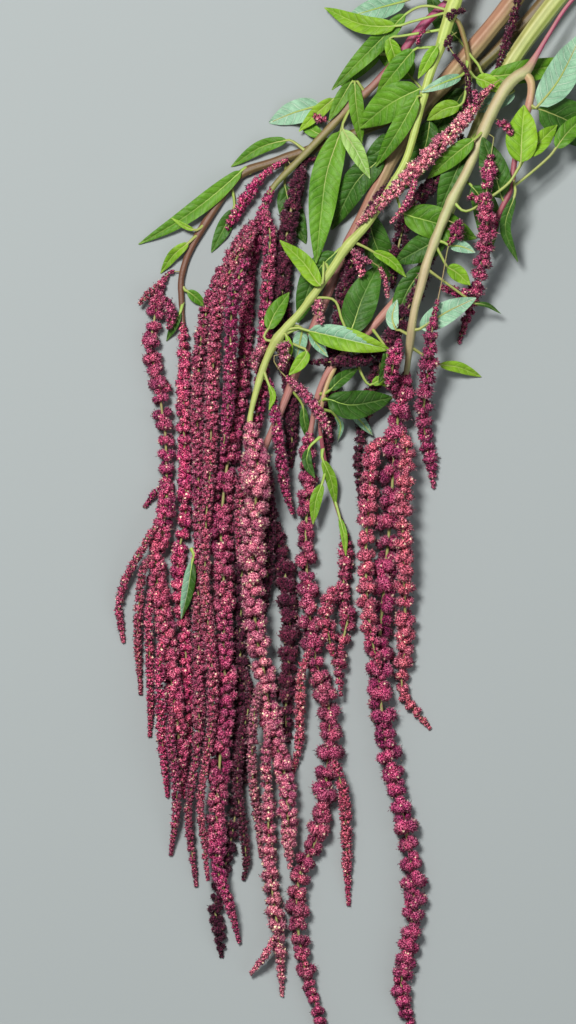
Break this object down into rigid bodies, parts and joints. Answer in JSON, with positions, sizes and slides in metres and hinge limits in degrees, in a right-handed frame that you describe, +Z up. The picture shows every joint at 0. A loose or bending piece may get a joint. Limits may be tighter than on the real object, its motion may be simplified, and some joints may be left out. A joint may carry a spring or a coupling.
{
  "type": "bunch of hanging amaranth",
  "caption": "Cut bunch of hanging amaranth lying flat: leafy green stems that arch over, and long trailing crimson seed heads of soft knobbly flower balls.",
  "frame": {"origin": "middle of the bunch's footprint on the surface that it lies on", "axes": "+Z up, away from that surface; +Y along the bunch's length, from the tips of the seed heads towards the cut ends of the stems"},
  "size_m": [0.4886, 1.0186, 0.0641],
  "materials": {
    "dark_stem": "matte",
    "olive_stem": "matte",
    "ribbed_stem": "matte",
    "red_stem": "matte",
    "front_stem": "matte",
    "arched_stem": "matte",
    "loose_leaf": "matte",
    "crimson_head": "matte",
    "dark_head": "matte",
    "pink_head": "matte"
  },
  "bodies": {
    "root": {"leaf_in_curtain": "loose_leaf", "leafy_stem_arch": "arched_stem", "leafy_stem_dark": "dark_stem", "leafy_stem_front": "front_stem", "leafy_stem_red": "red_stem", "leafy_stem_ribbed": "ribbed_stem", "leafy_stem_thick": "olive_stem", "seed_cluster_arch": "crimson_head", "seed_cluster_front": "pink_head", "seed_cluster_leg": "crimson_head", "seed_cluster_low": "pink_head", "seed_cluster_red": "crimson_head", "seed_cluster_thread": "crimson_head", "seed_head_beaded": "crimson_head", "seed_head_chain": "crimson_head", "seed_head_deep": "dark_head", "seed_head_inner": "crimson_head", "seed_head_knot": "crimson_head", "seed_head_left": "crimson_head", "seed_head_long": "crimson_head", "seed_head_loose": "crimson_head", "seed_head_nook": "dark_head", "seed_head_pink": "pink_head", "seed_head_right": "crimson_head", "seed_head_shaded": "dark_head", "seed_head_shy": "dark_head", "seed_head_under": "dark_head", "seed_spike_front": "crimson_head", "seed_spike_lean": "pink_head", "seed_spike_left": "crimson_head", "seed_spike_pink": "pink_head", "seed_spike_top": "dark_head"}
  },
  "joints": []
}
